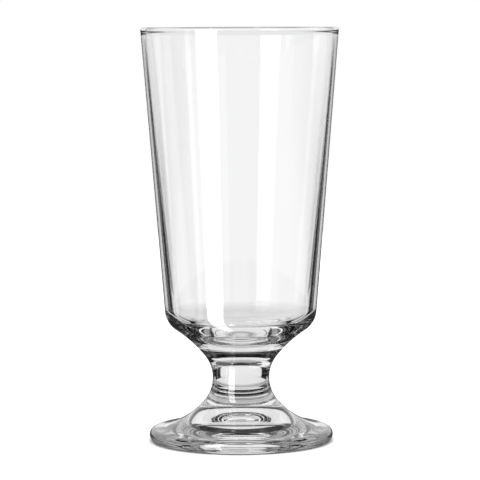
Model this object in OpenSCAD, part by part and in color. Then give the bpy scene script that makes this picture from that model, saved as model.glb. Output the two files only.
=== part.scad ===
// Footed highball glass: a blown bowl, a short pressed stem and a pressed disc foot, fused one on another.
// The origin is on the glass's axis, at the level of the table that it stands on.

/* [Bowl] */
// Height of the whole glass, from the table to the top of the rim
overall_height = 153.3; // [145:0.1:165]
// Diameter over the bead of the rim
rim_diameter = 73; // [68:0.5:78]
// Thickness of the wall just under the rim
rim_wall = 1.2; // [1:0.05:1.5]
// Radius of the fire-polished bead of the rim, which is flush with the wall outside and stands out inside
bead_radius = 0.9; // [0.8:0.05:1.2]
// Radius of the hollow curve from the bead into the inside of the wall
bead_blend = 2.5; // [1.5:0.1:4]
// Thickness that the wall grows to at the level of the inside floor
floor_wall = 3; // [2.2:0.1:3.5]
// Thickness of the solid base, from the joint with the stem to the lowest point of the inside floor
base_thickness = 7.5; // [6:0.5:11]
// Radius of the dished inside floor
floor_curve = 45; // [40:1:120]
// Radius of the inside corner between the floor and the wall
floor_corner = 5; // [3:0.5:9]
// Diameter where the straight wall ends and the shoulder begins
shoulder_diameter = 56.2; // [52:0.2:60]
// Height of that place above the joint with the stem
shoulder_height = 16.5; // [14:0.1:20]
// Radius of the rounded shoulder
shoulder_radius = 8.7; // [6:0.1:12]

/* [Stem] */
// Height of the stem between its two joints
stem_height = 16.8; // [13:0.1:20]
// Diameter of the stem at its waist
waist_diameter = 21; // [16:0.5:26]
// Height of the waist above the joint with the foot
waist_height = 8.5; // [7:0.1:10]
// Radius of the hollow curve of the waist
waist_curve = 13.3; // [12:0.1:18]

/* [Foot] */
// Height of the foot, from the table to the joint with the stem
foot_height = 15; // [13:0.5:18]
// Diameter of the foot
foot_diameter = 68.2; // [62:0.2:76]
// Radius of the rounded edge of the foot
foot_edge = 2.4; // [1.6:0.1:3.2]
// Width of the flat ring that the foot stands on
standing_ring = 3.2; // [1.5:0.1:6]
// Depth that the shallow hollow inside that ring would have at the axis
hollow_depth = 2; // [1:0.1:3]
// Diameter of the punt, the domed recess in the middle of the hollow
punt_diameter = 36; // [28:1:42]
// Height of the top of the punt above the table
punt_depth = 8; // [5:0.5:9]

/* [Hidden] */
$fn = 180;
// Two curves that meet smoothly cross by this much, so that they meet at one clear point
smooth_lap = 0.0005;
// Spare reach of a cutting shape beyond what it cuts
cut_spare = 2;

// Levels of the two joints, the waist, the shoulder and the inside floor
lower_joint = foot_height;
upper_joint = lower_joint + stem_height;
waist_level = lower_joint + waist_height;
shoulder_level = upper_joint + shoulder_height;
floor_level = upper_joint + base_thickness;

// The rim bead, a full round that caps the wall
bead_center = [rim_diameter / 2 - bead_radius, overall_height - bead_radius];

// The two faces of the tapered wall
wall_top = rim_diameter / 2 - smooth_lap;
taper_rise = bead_center.y - shoulder_level;
outer_slope = (wall_top - shoulder_diameter / 2) / taper_rise;
outer_taper = atan(outer_slope);
inner_top = wall_top - rim_wall;
inner_floor = wall_top - outer_slope * (bead_center.y - floor_level) - floor_wall;
inner_slope = (inner_top - inner_floor) / (bead_center.y - floor_level);
inner_taper = atan(inner_slope);
inner_start = inner_top - inner_slope * bead_center.y;

// The hollow curve between the bead and the inner face, and a point inside the wall beside it
blend_start = inner_start - bead_blend / cos(inner_taper);
blend_center = point_on_slope(blend_start, inner_slope, bead_center, bead_radius + bead_blend);
blend_back = blend_center + (bead_blend + rim_wall / 2) * along(-inner_taper);

// The dished floor, and the round corner that runs smoothly into it and into the wall
floor_center = [0, floor_level + floor_curve];
corner_start = inner_start - floor_corner / cos(inner_taper);
corner_center = point_on_slope(corner_start, inner_slope, floor_center, floor_curve - floor_corner);

// The waist curve, and the directions in which it reaches the two joints
waist_center = [waist_diameter / 2 + waist_curve, waist_level];
upper_turn = asin((upper_joint - waist_level) / waist_curve);
lower_turn = asin((waist_level - lower_joint) / waist_curve);
upper_edge = waist_center - waist_curve * along(-upper_turn);
lower_edge = waist_center - waist_curve * along(lower_turn);

// The shoulder, and the hollow curve of the bowl's underside that runs from the waist curve into it
shoulder_center = [shoulder_diameter / 2, shoulder_level] - shoulder_radius * along(-outer_taper);
underside_curve = joining_radius(upper_edge, -upper_turn, shoulder_center, shoulder_radius);
underside_center = upper_edge + underside_curve * along(-upper_turn);

// The rounded edge of the foot, and the hollow curve of its top that runs from the waist curve into it
edge_center = [foot_diameter / 2 - foot_edge, foot_edge];
flare_curve = joining_radius(lower_edge, lower_turn, edge_center, foot_edge);
flare_center = lower_edge + flare_curve * along(lower_turn);

// The hollow underneath, a shallow dome inside the standing ring, and the punt in the middle of it
hollow_rim = edge_center.x - standing_ring;
hollow_curve = (hollow_rim ^ 2 + hollow_depth ^ 2) / (2 * hollow_depth);
hollow_center = [0, hollow_depth - hollow_curve];
punt_rim = punt_diameter / 2;
punt_rise = punt_depth - hollow_center.y - sqrt(hollow_curve ^ 2 - punt_rim ^ 2);
punt_curve = (punt_rim ^ 2 + punt_rise ^ 2) / (2 * punt_rise);

function along(angle) = [cos(angle), sin(angle)];
function direction(from, to) = atan2(to.y - from.y, to.x - from.x);

// Radius of the hollow arc that leaves a start point at right angles to the given direction
// and runs smoothly into a round of the given center and radius
function joining_radius(start, angle, center, radius) =
    let (gap = start - center)
    (gap * gap - radius ^ 2) / (2 * (radius - gap * along(angle)));

// Lower point of a sloping line, given by its radius at the table and its slope, at a distance from a center
function point_on_slope(start, slope, center, distance) =
    let (
        gap = start - center.x,
        slant = 1 + slope ^ 2,
        half = center.y - slope * gap,
        rest = gap ^ 2 + center.y ^ 2 - distance ^ 2,
        level = (half - sqrt(half ^ 2 - slant * rest)) / slant
    )
    [start + slope * level, level];

// What lies outside an arc, between the arc's two end directions
module outside_arc(center, radius, from, to) {
    reach = 2 * radius + cut_spare;
    middle = (from + to) / 2;
    difference() {
        polygon([
            center,
            center + reach * along(from),
            center + reach * along((from + middle) / 2),
            center + reach * along(middle),
            center + reach * along((middle + to) / 2),
            center + reach * along(to)
        ]);
        translate(center) circle(r = radius + smooth_lap);
    }
}

module bowl_outside() {
    foot_of_wall = wall_top - outer_slope * (bead_center.y - upper_joint);
    difference() {
        polygon([
            [0, upper_joint],
            [foot_of_wall, upper_joint],
            [wall_top, bead_center.y],
            [0, bead_center.y]
        ]);
        translate(underside_center) circle(r = underside_curve);
        outside_arc(
            shoulder_center,
            shoulder_radius,
            direction(shoulder_center, underside_center),
            -outer_taper
        );
    }
}

module bowl_inside() {
    low = floor_level - cut_spare;
    difference() {
        polygon([
            [0, low],
            [inner_floor - inner_slope * cut_spare, low],
            [inner_top + inner_slope * cut_spare, bead_center.y + cut_spare],
            [0, bead_center.y + cut_spare]
        ]);
        difference() {
            translate([-cut_spare, low - cut_spare]) square([rim_diameter, floor_curve]);
            translate(floor_center) circle(r = floor_curve);
        }
        outside_arc(corner_center, floor_corner, direction(floor_center, corner_center), -inner_taper);
    }
}

module bowl() {
    color("aliceblue")
    rotate_extrude()
    union() {
        difference() {
            bowl_outside();
            bowl_inside();
        }
        translate(bead_center) circle(r = bead_radius);
        difference() {
            polygon([bead_center, blend_center, blend_back]);
            translate(blend_center) circle(r = bead_blend + smooth_lap);
        }
    }
}

module stem() {
    color("aliceblue")
    rotate_extrude()
    difference() {
        translate([0, lower_joint]) square([waist_center.x, stem_height]);
        translate(waist_center) circle(r = waist_curve);
    }
}

module foot() {
    color("aliceblue")
    rotate_extrude()
    difference() {
        square([foot_diameter / 2 + foot_edge, foot_height]);
        translate(flare_center) circle(r = flare_curve);
        outside_arc(edge_center, foot_edge, -90, direction(edge_center, flare_center));
        translate(hollow_center) circle(r = hollow_curve);
        translate([0, punt_depth - punt_curve]) circle(r = punt_curve);
    }
}

bowl();
stem();
foot();
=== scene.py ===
from math import acos, asin, atan, atan2, ceil, cos, pi, radians, sin, sqrt

import bmesh
import bpy
from mathutils import Matrix, Vector


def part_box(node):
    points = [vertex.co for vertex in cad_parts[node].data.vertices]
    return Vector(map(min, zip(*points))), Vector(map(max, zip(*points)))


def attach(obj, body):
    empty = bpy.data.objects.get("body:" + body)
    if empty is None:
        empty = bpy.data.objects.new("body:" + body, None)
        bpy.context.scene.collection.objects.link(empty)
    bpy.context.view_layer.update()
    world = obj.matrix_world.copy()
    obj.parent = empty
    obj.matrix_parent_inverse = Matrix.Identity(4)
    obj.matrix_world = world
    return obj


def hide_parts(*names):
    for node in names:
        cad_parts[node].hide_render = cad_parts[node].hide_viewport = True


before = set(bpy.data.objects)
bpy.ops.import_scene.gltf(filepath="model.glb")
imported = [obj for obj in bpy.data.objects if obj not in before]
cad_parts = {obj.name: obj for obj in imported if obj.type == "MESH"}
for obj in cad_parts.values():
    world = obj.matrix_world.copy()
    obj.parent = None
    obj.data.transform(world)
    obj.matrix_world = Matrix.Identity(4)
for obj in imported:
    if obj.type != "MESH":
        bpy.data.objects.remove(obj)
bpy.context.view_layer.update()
mm = 0.001
samePoint = 0.0001 * mm  # points closer than this are one point
jointSlack = 0.001 * mm  # a face this close to a joint's level lies on the joint

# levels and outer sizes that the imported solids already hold
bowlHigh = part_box("bowl")[1]
stemLow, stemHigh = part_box("stem")
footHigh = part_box("foot")[1]
upperJoint, lowerJoint = stemHigh.z, stemLow.z
rimTop, rimRadius, footRadius = bowlHigh.z, bowlHigh.x, footHigh.x
print(
    "frame: rim at", round(rimTop / mm, 2), "mm, joints at",
    round(lowerJoint / mm, 2), "and", round(upperJoint / mm, 2),
)


# sections are lists of points (radius, height) from axis to axis
def along(angle):
    return Vector((cos(angle), sin(angle)))


def direction(start, end):
    return atan2(end.y - start.y, end.x - start.x)


def arcPoints(center, radius, start, end, step=2.5):  # step in degrees
    count = max(2, ceil(abs(end - start) / radians(step)))
    return [center + radius * along(start + (end - start) * i / count) for i in range(count + 1)]


def linePoints(start, end, count):
    return [start.lerp(end, i / count) for i in range(count + 1)]


# radius of the hollow arc that leaves start square to angle and runs smoothly into a round
def joiningRadius(start, angle, center, radius):
    gap = start - center
    return (gap.dot(gap) - radius ** 2) / (2 * (radius - gap.dot(along(angle))))


# lower point of a sloping line (its radius at height 0, its slope) at a given distance from a center
def pointOnSlope(start, slope, center, distance):
    gap = start - center.x
    slant = 1 + slope ** 2
    half = center.y - slope * gap
    level = (half - sqrt(half ** 2 - slant * (gap ** 2 + center.y ** 2 - distance ** 2))) / slant
    return Vector((start + slope * level, level))


def chain(*stretches):
    points = []
    for stretch in stretches:
        for point in stretch:
            if not points or (points[-1] - point).length > samePoint:
                points.append(point)
    return points


# turns a section into a closed mesh; flat faces on a joint's level get the seam material
def turnPiece(name, section, glass, joints, turns=192, crease=radians(25)):
    bm = bmesh.new()
    rings = []
    for point in section:
        if point.x < samePoint:
            rings.append([bm.verts.new((0, 0, point.y))])
            continue
        ring = []
        for i in range(turns):
            angle = 2 * pi * i / turns
            ring.append(bm.verts.new((point.x * cos(angle), point.x * sin(angle), point.y)))
        rings.append(ring)
    for low, high in zip(rings, rings[1:]):
        for i in range(turns):
            j = (i + 1) % turns
            if len(low) == 1:
                bm.faces.new((low[0], high[j], high[i]))
            elif len(high) == 1:
                bm.faces.new((low[i], low[j], high[0]))
            else:
                bm.faces.new((low[i], low[j], high[j], high[i]))
    bmesh.ops.recalc_face_normals(bm, faces=bm.faces)
    for face in bm.faces:
        face.smooth = True
        onJoint = any(all(abs(v.co.z - level) < jointSlack for v in face.verts) for level in joints)
        face.material_index = 1 if onJoint else 0
    for edge in bm.edges:
        if len(edge.link_faces) == 2 and edge.calc_face_angle() > crease:
            edge.smooth = False
    mesh = bpy.data.meshes.new(name)
    bm.to_mesh(mesh)
    bm.free()
    piece = bpy.data.objects.new(name, mesh)
    bpy.context.scene.collection.objects.link(piece)
    mesh.materials.append(glass)
    mesh.materials.append(fusedSeam())
    return piece


def newMaterial(name):
    material = bpy.data.materials.new(name)
    material.use_nodes = True
    material.node_tree.nodes.clear()
    return material, material.node_tree


def makeNode(tree, kind, **values):
    node = tree.nodes.new(kind)
    for key, value in values.items():
        setattr(node, key, value)
    return node


# where two pieces are fused there is no surface left to see, so light passes straight on
def fusedSeam():
    if "fusedSeam" in bpy.data.materials:
        return bpy.data.materials["fusedSeam"]
    material, tree = newMaterial("fusedSeam")
    clear = makeNode(tree, "ShaderNodeBsdfTransparent")
    out = makeNode(tree, "ShaderNodeOutputMaterial")
    tree.links.new(clear.outputs[0], out.inputs["Surface"])
    return material


# noise over the piece, with its own scale across and along the axis (per meter)
def noiseNode(tree, where, scale, detail):
    stretch = makeNode(tree, "ShaderNodeMapping")
    stretch.inputs["Scale"].default_value = (scale[0], scale[0], scale[1])
    noise = makeNode(tree, "ShaderNodeTexNoise")
    noise.inputs["Scale"].default_value = 1
    noise.inputs["Detail"].default_value = detail
    tree.links.new(where.outputs["Object"], stretch.inputs[0])
    tree.links.new(stretch.outputs[0], noise.inputs["Vector"])
    return noise.outputs[0]


# clear glass: faint cords of tint, a slightly uneven polish, and the slow swell that hot forming leaves
def clearGlass(name, look, cordDetail=3, polishDetail=2, swellDetail=1, dullFrom=0.45, dullTo=0.8):
    material, tree = newMaterial(name)
    glass = makeNode(tree, "ShaderNodeBsdfPrincipled")
    glass.inputs["Transmission Weight"].default_value = 1
    glass.inputs["IOR"].default_value = look["index"]
    where = makeNode(tree, "ShaderNodeTexCoord")

    tint = makeNode(tree, "ShaderNodeMix", data_type="RGBA")  # its colors are inputs 6 and 7
    tint.inputs[6].default_value = (*look["tint"], 1)
    tint.inputs[7].default_value = (*look["cordTint"], 1)
    tree.links.new(noiseNode(tree, where, look["cordScale"], cordDetail), tint.inputs[0])
    tree.links.new(tint.outputs[2], glass.inputs["Base Color"])

    rough = makeNode(tree, "ShaderNodeMapRange")
    rough.inputs["From Min"].default_value = dullFrom
    rough.inputs["From Max"].default_value = dullTo
    rough.inputs["To Max"].default_value = look["rough"]
    tree.links.new(noiseNode(tree, where, look["polishScale"], polishDetail), rough.inputs["Value"])
    tree.links.new(rough.outputs[0], glass.inputs["Roughness"])

    swell = makeNode(tree, "ShaderNodeBump")
    swell.inputs["Distance"].default_value = look["swellDepth"]
    tree.links.new(noiseNode(tree, where, look["swellScale"], swellDetail), swell.inputs["Height"])
    tree.links.new(swell.outputs[0], glass.inputs["Normal"])

    out = makeNode(tree, "ShaderNodeOutputMaterial")
    tree.links.new(glass.outputs[0], out.inputs["Surface"])
    return material


# stem: one hollow arc between two flat joints
stem = dict(
    waistDiameter=21 * mm, waistHeight=8.5 * mm, waistCurve=13.3 * mm,
    index=1.5, tint=(0.99, 0.99, 0.99), cordTint=(0.975, 0.98, 0.978), cordScale=(160, 40),
    rough=0.006, polishScale=(300, 300), swellDepth=0.008 * mm, swellScale=(70, 45),
)
waistLevel = lowerJoint + stem["waistHeight"]
waistCenter = Vector((stem["waistDiameter"] / 2 + stem["waistCurve"], waistLevel))
upperTurn = asin((upperJoint - waistLevel) / stem["waistCurve"])
lowerTurn = asin((waistLevel - lowerJoint) / stem["waistCurve"])
upperEdge = waistCenter - stem["waistCurve"] * along(-upperTurn)
lowerEdge = waistCenter - stem["waistCurve"] * along(lowerTurn)


def stemSection():
    waist = arcPoints(waistCenter, stem["waistCurve"], pi + lowerTurn, pi - upperTurn)
    return chain([Vector((0, lowerJoint))], waist, [Vector((0, upperJoint))])


# bowl: tapered wall with a round rim bead, thick base, rounded shoulder
bowl = dict(
    rimWall=1.2 * mm, beadRadius=0.9 * mm, beadBlend=2.5 * mm, floorWall=3.0 * mm,
    baseThickness=7.5 * mm, floorCorner=5 * mm, floorCurve=45 * mm,
    shoulderDiameter=56.2 * mm, shoulderHeight=16.5 * mm, shoulderRadius=8.7 * mm, wallSteps=60,
    index=1.5, tint=(0.995, 0.995, 0.995), cordTint=(0.985, 0.988, 0.987), cordScale=(120, 12),
    rough=0.004, polishScale=(200, 60), swellDepth=0.006 * mm, swellScale=(45, 14),
)


def bowlSection():
    bead, blend = bowl["beadRadius"], bowl["beadBlend"]
    corner, dish = bowl["floorCorner"], bowl["floorCurve"]
    beadCenter = Vector((rimRadius - bead, rimTop - bead))
    shoulderLevel = upperJoint + bowl["shoulderHeight"]
    floorLevel = upperJoint + bowl["baseThickness"]

    # the two faces of the wall
    outerSlope = (rimRadius - bowl["shoulderDiameter"] / 2) / (beadCenter.y - shoulderLevel)
    outerTaper = atan(outerSlope)
    innerTop = rimRadius - bowl["rimWall"]
    innerFloor = rimRadius - outerSlope * (beadCenter.y - floorLevel) - bowl["floorWall"]
    innerSlope = (innerTop - innerFloor) / (beadCenter.y - floorLevel)
    innerTaper = atan(innerSlope)
    innerStart = innerTop - innerSlope * beadCenter.y

    # underside, from the stem's curve into the shoulder
    bend = bowl["shoulderRadius"]
    shoulderCenter = Vector((bowl["shoulderDiameter"] / 2, shoulderLevel)) - bend * along(-outerTaper)
    under = joiningRadius(upperEdge, -upperTurn, shoulderCenter, bend)
    underCenter = upperEdge + under * along(-upperTurn)
    meet = direction(underCenter, shoulderCenter)
    underside = arcPoints(underCenter, under, pi - upperTurn, meet, step=1)
    shoulder = arcPoints(shoulderCenter, bend, meet - pi, -outerTaper)

    # the bead is flush with the outer face and runs into the inner one by a hollow curve
    blendStart = innerStart - blend / cos(innerTaper)
    blendCenter = pointOnSlope(blendStart, innerSlope, beadCenter, bead + blend)
    blendTurn = direction(blendCenter, beadCenter)
    rim = arcPoints(beadCenter, bead, -outerTaper, pi + blendTurn, step=6)
    rimBlend = arcPoints(blendCenter, blend, blendTurn, -innerTaper, step=3)

    # the dished floor, and the round corner that runs smoothly into it and into the wall
    floorCenter = Vector((0, floorLevel + dish))
    cornerStart = innerStart - corner / cos(innerTaper)
    cornerCenter = pointOnSlope(cornerStart, innerSlope, floorCenter, dish - corner)
    cornerTurn = direction(floorCenter, cornerCenter)
    insideCorner = arcPoints(cornerCenter, corner, -innerTaper, cornerTurn)
    insideFloor = arcPoints(floorCenter, dish, cornerTurn, -pi / 2, step=1)

    outerWall = linePoints(shoulder[-1], rim[0], bowl["wallSteps"])
    innerWall = linePoints(rimBlend[-1], insideCorner[0], bowl["wallSteps"])
    outside = chain([Vector((0, upperJoint))], underside, shoulder, outerWall)
    return chain(outside, rim, rimBlend, innerWall, insideCorner, insideFloor)


# foot: flared top, round edge, flat standing ring, and a punt in the shallow hollow underneath
foot = dict(
    edge=2.4 * mm, standingRing=3.2 * mm, hollowDepth=2 * mm, puntDiameter=36 * mm, puntDepth=8 * mm,
    index=1.5, tint=(0.99, 0.99, 0.99), cordTint=(0.975, 0.98, 0.978), cordScale=(110, 160),
    rough=0.008, polishScale=(280, 280), swellDepth=0.01 * mm, swellScale=(60, 60),
)


def footSection():
    edge, depth = foot["edge"], foot["hollowDepth"]
    edgeCenter = Vector((footRadius - edge, edge))

    # hollow and punt, from the axis out to the standing ring
    hollowRim = edgeCenter.x - foot["standingRing"]
    dome = (hollowRim ** 2 + depth ** 2) / (2 * depth)
    domeCenter = Vector((0, depth - dome))
    puntRim = foot["puntDiameter"] / 2
    puntEdge = Vector((puntRim, domeCenter.y + sqrt(dome ** 2 - puntRim ** 2)))
    rise = foot["puntDepth"] - puntEdge.y
    punt = (puntRim ** 2 + rise ** 2) / (2 * rise)
    puntCenter = Vector((0, foot["puntDepth"] - punt))
    puntTop = arcPoints(puntCenter, punt, pi / 2, direction(puntCenter, puntEdge), step=1.5)
    hollow = arcPoints(domeCenter, dome, direction(domeCenter, puntEdge), acos(hollowRim / dome), step=0.5)

    # round edge, and the flare up to the stem
    flare = joiningRadius(lowerEdge, lowerTurn, edgeCenter, edge)
    flareCenter = lowerEdge + flare * along(lowerTurn)
    meet = direction(flareCenter, edgeCenter)
    roundEdge = arcPoints(edgeCenter, edge, -pi / 2, meet + pi, step=5)
    top = arcPoints(flareCenter, flare, meet, lowerTurn - pi, step=1)
    return chain(puntTop, hollow, roundEdge, top, [Vector((0, lowerJoint))])


pieces = {
    "bowl": (bowl, bowlSection(), [upperJoint]),
    "stem": (stem, stemSection(), [lowerJoint, upperJoint]),
    "foot": (foot, footSection(), [lowerJoint]),
}
for node, (look, section, joints) in pieces.items():
    piece = turnPiece(node + "Glass", section, clearGlass(node + "Finish", look), joints)
    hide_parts(node)
    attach(piece, "root")
print("glass: pieces turned", len(pieces))

# camera, where the photograph was taken from (meters, degrees, pixels, sensor in mm)
cameraPlace = dict(
    distance=0.9555, height=0.1600, pitch=5.10, yaw=0.0098, roll=-0.25,
    focalPixels=2589.7, imagePixels=480, sensor=36, clipStart=0.05, clipEnd=50,
)


def photoCamera(place):
    data = bpy.data.cameras.new("photoCamera")
    data.sensor_width = place["sensor"]
    data.lens = place["focalPixels"] / place["imagePixels"] * place["sensor"]
    data.clip_start = place["clipStart"]
    data.clip_end = place["clipEnd"]
    camera = bpy.data.objects.new("photoCamera", data)
    bpy.context.scene.collection.objects.link(camera)
    stand = Matrix.Translation((0, -place["distance"], place["height"]))
    turn = Matrix.Rotation(radians(place["yaw"]), 4, "Z")
    tilt = Matrix.Rotation(radians(90 - place["pitch"]), 4, "X")
    roll = Matrix.Rotation(radians(place["roll"]), 4, "Z")
    camera.matrix_world = stand @ turn @ tilt @ roll
    bpy.context.scene.camera = camera


photoCamera(cameraPlace)
print("camera: set")

# studio: white to the camera, while the glass sees lit panels with a darker room between them
# light has three uses: mirror is what the faces reflect, solid is what thick glass or a single wall bends,
# and through is what shows through both walls
# a panel has a facing angle and half width, a lowest and highest elevation and a soft edge, all in degrees
studioLook = dict(
    diffuse=0.75,  # light that falls on the floor
    room=dict(mirror=0.03, solid=0.005, through=0.05),
    frontFill=dict(mirror=0.22, solid=0.02, through=0.25),
    frontReach=(0.1, -0.4),  # the fill grows between these two values of y
    panels=dict(
        backdropLow=dict(facing=90, half=24, low=-24, high=3, soft=1.5, solid=0.85),
        backdropHorizon=dict(facing=90, half=34, low=-5, high=3, soft=0.8, solid=0.85),
        backdropDeep=dict(facing=90, half=20, low=-90, high=5, soft=1.5, through=1.0),
        backdropHigh=dict(facing=90, half=34, low=-1, high=43, soft=2.5, solid=0.88, through=1.0),
        backdropTop=dict(facing=90, half=46, low=43, high=72, soft=4, mirror=0.5, solid=0.1, through=0.5),
        backdropGloss=dict(facing=90, half=40, low=2, high=43, soft=2, mirror=1.0),
        leftWing=dict(facing=147, half=17, low=-7, high=40, soft=1.5, mirror=0.95, through=0.9),
        rightWing=dict(facing=28, half=21, low=-7, high=40, soft=1.5, mirror=0.95, through=0.9),
        leftWingLow=dict(facing=147, half=17, low=-60, high=-7, soft=1.5, mirror=0.05, through=0.3),
        rightWingLow=dict(facing=28, half=21, low=-60, high=-7, soft=1.5, mirror=0.05, through=0.3),
        leftOpen=dict(facing=172, half=46, low=-90, high=50, soft=1.5, through=1.0),
        frontOpen=dict(facing=265, half=24, low=-90, high=-4, soft=1.5, through=0.95),
        cornerOpen=dict(facing=315, half=28, low=-90, high=50, soft=1.5, through=0.9),
        rightOpen=dict(facing=355, half=14, low=-90, high=-4, soft=1.5, through=0.95),
        farTable=dict(facing=270, half=150, low=-60, high=-12.5, soft=1, solid=0.9),
        leftHorizon=dict(facing=180, half=14, low=-24, high=-1.5, soft=0.6, solid=0.25),
        frontHorizon=dict(facing=270, half=24, low=-24, high=-1.5, soft=0.6, solid=0.8),
        cornerHorizon=dict(facing=315, half=24, low=-24, high=-1.5, soft=0.6, solid=0.8),
        cornerPanel=dict(facing=315, half=16, low=-90, high=30, soft=2, solid=0.08),
        leftBox=dict(facing=230.6, half=13, low=-90, high=60, soft=0.8, mirror=10, solid=0.2, through=2.2),
        leftStrip=dict(facing=206.5, half=3.5, low=-60, high=60, soft=0.6, mirror=1.8, through=1.0),
        edgeStrip=dict(facing=157.5, half=3.5, low=-60, high=60, soft=0.6, mirror=1.3, through=1.6),
    ),
)
bothWalls = 4  # glass faces that a ray crosses on its way through the bowl


def mathNode(tree, operation, *values):
    node = makeNode(tree, "ShaderNodeMath", operation=operation)
    for i, value in enumerate(values):
        if isinstance(value, (int, float)):
            node.inputs[i].default_value = value
        else:
            tree.links.new(value, node.inputs[i])
    return node.outputs[0]


def ramp(tree, value, start, end):
    node = makeNode(tree, "ShaderNodeMapRange", interpolation_type="SMOOTHSTEP")
    tree.links.new(value, node.inputs["Value"])
    node.inputs["From Min"].default_value = start
    node.inputs["From Max"].default_value = end
    return node.outputs[0]


# 0 before an edge and 1 past it, and the other way round
def pastEdge(tree, value, edge, soft):
    return ramp(tree, value, edge - soft, edge + soft)


def beforeEdge(tree, value, edge, soft):
    return mathNode(tree, "SUBTRACT", 1, pastEdge(tree, value, edge, soft))


# how much of a panel a direction sees
def panelMask(tree, facing, elevation, panel):
    soft = radians(panel["soft"])
    offset = mathNode(tree, "SUBTRACT", facing, radians(panel["facing"]))
    offset = mathNode(tree, "ABSOLUTE", mathNode(tree, "WRAP", offset, pi, -pi))
    across = beforeEdge(tree, offset, radians(panel["half"]), soft)
    above = pastEdge(tree, elevation, radians(panel["low"]), soft)
    below = beforeEdge(tree, elevation, radians(panel["high"]), soft)
    return mathNode(tree, "MULTIPLY", mathNode(tree, "MULTIPLY", across, above), below)


# which use a bounced ray has: 1 for its own, 0 for the others
def rayUses(tree):
    path = makeNode(tree, "ShaderNodeLightPath")
    mirror = path.outputs["Is Reflection Ray"]
    deep = mathNode(tree, "GREATER_THAN", path.outputs["Transmission Depth"], bothWalls - 0.5)
    passed = mathNode(tree, "SUBTRACT", 1, mirror)
    through = mathNode(tree, "MULTIPLY", passed, deep)
    solid = mathNode(tree, "SUBTRACT", passed, through)
    return path, dict(mirror=mirror, solid=solid, through=through)


def studioWorld(look):
    world = bpy.data.worlds.new("studio")
    world.use_nodes = True
    tree = world.node_tree
    tree.nodes.clear()
    where = makeNode(tree, "ShaderNodeTexCoord")
    split = makeNode(tree, "ShaderNodeSeparateXYZ")
    tree.links.new(where.outputs["Generated"], split.inputs[0])
    x, y, z = split.outputs
    facing = mathNode(tree, "ARCTAN2", y, x)
    elevation = mathNode(tree, "ARCSINE", z)
    front = ramp(tree, y, *look["frontReach"])
    panels = look["panels"]
    masks = {name: panelMask(tree, facing, elevation, panel) for name, panel in panels.items()}
    path, uses = rayUses(tree)
    toGlass = 0
    for use, share in uses.items():
        light = mathNode(tree, "MULTIPLY_ADD", front, look["frontFill"][use], look["room"][use])
        for name, panel in panels.items():
            if use in panel:
                lit = mathNode(tree, "MULTIPLY", masks[name], panel[use])
                light = mathNode(tree, "MAXIMUM", light, lit)
        toGlass = mathNode(tree, "MULTIPLY_ADD", light, share, toGlass)
    isCamera, isDiffuse = path.outputs["Is Camera Ray"], path.outputs["Is Diffuse Ray"]
    toGlass = mathNode(tree, "MULTIPLY", toGlass, mathNode(tree, "SUBTRACT", 1, isDiffuse))
    toFloor = mathNode(tree, "MULTIPLY_ADD", isDiffuse, look["diffuse"], toGlass)
    back = makeNode(tree, "ShaderNodeBackground")
    back.inputs["Color"].default_value = (1, 1, 1, 1)
    tree.links.new(mathNode(tree, "MAXIMUM", toFloor, isCamera), back.inputs["Strength"])
    out = makeNode(tree, "ShaderNodeOutputWorld")
    tree.links.new(back.outputs[0], out.inputs["Surface"])
    bpy.context.scene.world = world


# floor: white to the camera, while bounced rays see painted light and shade: glowing card-shaped patches
# round the glass on a table painted dim
# a card has a facing angle, where it starts and ends, how fast its start bows back and its sides spread,
# half its width, a soft edge, and its light at the start and from the full distance on
sideCard = dict(start=50 * mm, end=1, bow=0, spread=0.05, half=35 * mm, soft=6 * mm, full=60 * mm)
thinCard = dict(sideCard, spread=0, half=6 * mm, soft=2 * mm)
floorLook = dict(
    radius=0.9, segments=96, drop=0.05 * mm, color=(0.9, 0.9, 0.9, 1), glow=0.6,
    contactShadow=1.1 * mm,  # half width of the painted shadow line where the foot meets the floor
    seenRadius=dict(mirror=36 * mm, solid=0.25, through=0.34),  # past it, bounced rays see the panels
    # painted shade: the table as the glass sees it is dim, and for rays through both walls darker near the
    # foot
    table=dict(mirror=0.06, solid=0.005, near=0.72, far=1.0, nearRadius=50 * mm),
    glowRing=dict(inner=27 * mm, outer=42 * mm, soft=3 * mm, light=0.5),  # painted light: a glowing ring under the foot's edge
    glowCards=dict(
        # painted light: card-shaped glow on the floor that only the glass sees, the first one under the
        # foot
        underCard=dict(facing=90, start=-4 * mm, end=10.5 * mm, bow=64, spread=0, half=16 * mm,
                       soft=1.2 * mm, near=0.78, light=0.78, full=10 * mm),
        backCard=dict(facing=90, start=22.5 * mm, end=1, bow=10, spread=0.40, half=38 * mm,
                      soft=3 * mm, near=0.12, light=0.84, full=70 * mm),
        frontCard=dict(facing=270, start=22 * mm, end=1, bow=0, spread=0.05, half=30 * mm,
                       soft=6 * mm, near=0.30, light=0.60, full=50 * mm),
        rightCard=dict(sideCard, facing=0, near=0.35, light=0.35),
        leftCard=dict(sideCard, facing=180, near=0.35, light=0.35),
        cornerCard=dict(sideCard, facing=315, near=0.8, light=0.8),
        leftBackCard=dict(thinCard, facing=145, near=0.9, light=0.9),
        rightBackCard=dict(thinCard, facing=35, near=0.9, light=0.9),
    ),
)


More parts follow.
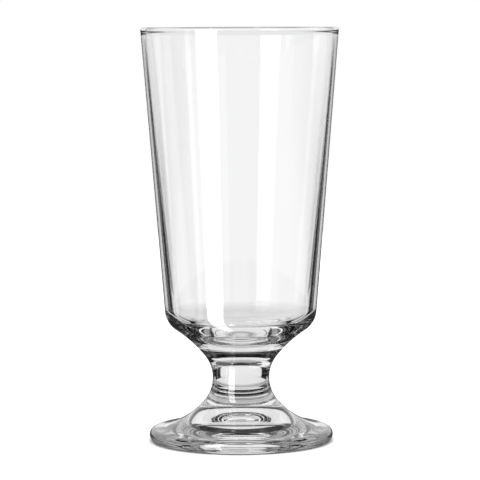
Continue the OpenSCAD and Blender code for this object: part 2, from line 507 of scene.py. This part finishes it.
def cardLight(tree, x, y, card):
    soft = card["soft"]
    turn = radians(card["facing"])
    ahead = mathNode(tree, "MULTIPLY_ADD", x, cos(turn), mathNode(tree, "MULTIPLY", y, sin(turn)))
    across = mathNode(tree, "MULTIPLY_ADD", y, cos(turn), mathNode(tree, "MULTIPLY", x, -sin(turn)))
    across = mathNode(tree, "ABSOLUTE", across)
    aside = mathNode(tree, "MULTIPLY_ADD", ahead, -card["spread"], across)
    inside = beforeEdge(tree, aside, card["half"], soft)
    bowed = mathNode(tree, "MULTIPLY_ADD", mathNode(tree, "MULTIPLY", across, across), -card["bow"], ahead)
    started = pastEdge(tree, bowed, card["start"], soft)
    ended = pastEdge(tree, ahead, card["end"], soft)
    reached = mathNode(tree, "SUBTRACT", started, ended)
    rise = ramp(tree, ahead, card["start"], card["full"])
    level = mathNode(tree, "MULTIPLY_ADD", rise, card["light"] - card["near"], card["near"])
    return mathNode(tree, "MULTIPLY", mathNode(tree, "MULTIPLY", inside, reached), level)


# painted light and shade that the glass sees on the table: dim, darker towards the foot, with a glowing
# ring under the foot's edge and glowing card-shaped patches
def tableLight(tree, look, uses, where, away):
    table, glowRing = look["table"], look["glowRing"]
    # painted shade: the table seen through both walls darkens towards the foot
    fade = ramp(tree, away, table["nearRadius"], look["seenRadius"]["through"])
    clear = mathNode(tree, "MULTIPLY_ADD", fade, table["far"] - table["near"], table["near"])
    # painted light: a glowing ring on the floor under the foot's edge
    inner = pastEdge(tree, away, glowRing["inner"], glowRing["soft"])
    outer = pastEdge(tree, away, glowRing["outer"], glowRing["soft"])
    ring = mathNode(tree, "MULTIPLY", mathNode(tree, "SUBTRACT", inner, outer), glowRing["light"])
    thick = mathNode(tree, "MAXIMUM", table["solid"], ring)
    split = makeNode(tree, "ShaderNodeSeparateXYZ")
    tree.links.new(where, split.inputs[0])
    # painted light: each card is a glow on the floor that only the glass sees
    for card in look["glowCards"].values():
        lit = cardLight(tree, split.outputs["X"], split.outputs["Y"], card)
        thick = mathNode(tree, "MAXIMUM", thick, lit)
    light = mathNode(tree, "MULTIPLY", uses["mirror"], table["mirror"])
    light = mathNode(tree, "MULTIPLY_ADD", uses["through"], clear, light)
    return mathNode(tree, "MULTIPLY_ADD", uses["solid"], thick, light)


def paleFloor(look):
    material, tree = newMaterial("paleFloor")
    where = makeNode(tree, "ShaderNodeTexCoord").outputs["Object"]
    length = makeNode(tree, "ShaderNodeVectorMath", operation="LENGTH")
    tree.links.new(where, length.inputs[0])
    away = length.outputs["Value"]
    path, uses = rayUses(tree)
    bounced = mathNode(tree, "MAXIMUM", path.outputs["Is Glossy Ray"], path.outputs["Is Transmission Ray"])

    # what the camera sees: white, with real shade under the foot and a painted shadow where the glow fades
    # out under the foot's edge
    paint = makeNode(tree, "ShaderNodeBsdfPrincipled")
    paint.inputs["Base Color"].default_value = look["color"]
    paint.inputs["Roughness"].default_value = 1
    paint.inputs["Specular IOR Level"].default_value = 0
    paint.inputs["Emission Color"].default_value = (1, 1, 1, 1)
    # painted shadow: the floor's glow fades out under the foot and just past its edge
    outOfPaintedShadow = pastEdge(tree, away, footRadius, look["contactShadow"])
    tree.links.new(mathNode(tree, "MULTIPLY", outOfPaintedShadow, look["glow"]), paint.inputs["Emission Strength"])

    # what the glass sees: painted light and shade on the table near by, and farther out the studio's panels
    seen = makeNode(tree, "ShaderNodeEmission")
    tree.links.new(tableLight(tree, look, uses, where, away), seen.inputs["Strength"])
    limit = 0
    for use, share in uses.items():
        limit = mathNode(tree, "MULTIPLY_ADD", share, look["seenRadius"][use], limit)
    far = mathNode(tree, "GREATER_THAN", away, limit)
    gap = makeNode(tree, "ShaderNodeBsdfTransparent")

    near = makeNode(tree, "ShaderNodeMixShader")
    tree.links.new(bounced, near.inputs[0])
    tree.links.new(paint.outputs[0], near.inputs[1])
    tree.links.new(seen.outputs[0], near.inputs[2])
    mix = makeNode(tree, "ShaderNodeMixShader")
    tree.links.new(mathNode(tree, "MULTIPLY", far, bounced), mix.inputs[0])
    tree.links.new(near.outputs[0], mix.inputs[1])
    tree.links.new(gap.outputs[0], mix.inputs[2])
    out = makeNode(tree, "ShaderNodeOutputMaterial")
    tree.links.new(mix.outputs[0], out.inputs["Surface"])
    return material


def studioFloor(look):
    bm = bmesh.new()
    bmesh.ops.create_circle(bm, cap_ends=True, segments=look["segments"], radius=look["radius"])
    mesh = bpy.data.meshes.new("studioFloor")
    bm.to_mesh(mesh)
    bm.free()
    mesh.materials.append(paleFloor(look))
    floor = bpy.data.objects.new("studioFloor", mesh)
    floor.location.z = -look["drop"]
    bpy.context.scene.collection.objects.link(floor)


lightBounces = 32  # thick glass needs many
scene = bpy.context.scene
scene.view_settings.view_transform = "Standard"
scene.cycles.max_bounces = lightBounces
scene.cycles.glossy_bounces = lightBounces
scene.cycles.transmission_bounces = lightBounces
scene.cycles.transparent_max_bounces = 2 * lightBounces
studioWorld(studioLook)
studioFloor(floorLook)
print("studio: panels", len(studioLook["panels"]), "glowCards", len(floorLook["glowCards"]))
